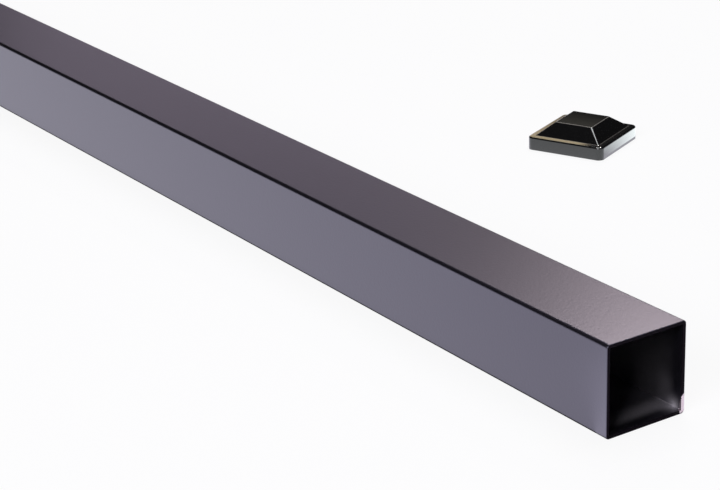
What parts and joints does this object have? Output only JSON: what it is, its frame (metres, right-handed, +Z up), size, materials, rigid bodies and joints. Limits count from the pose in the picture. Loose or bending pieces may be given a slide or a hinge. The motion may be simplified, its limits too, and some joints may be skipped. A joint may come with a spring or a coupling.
{
  "type": "metal fence post",
  "caption": "Square extruded fence post tube, open at both ends and lying on one face, with its low pyramid cap taken off and standing on its rim beside it.",
  "frame": {"origin": "centre of the face that the post lies on, at mid length", "axes": "+X along the post to the end nearest the loose cap, +Z up, square to the face that it lies on, +Y sideways to the cap"},
  "size_m": [1.8, 0.308, 0.05],
  "materials": {
    "black_powder_coat": "satin black powder coat on extruded aluminium",
    "gloss_black_plastic": "gloss black moulded plastic"
  },
  "bodies": {
    "root": {"post_tube": "black_powder_coat", "post_cap": "gloss_black_plastic"}
  },
  "joints": []
}
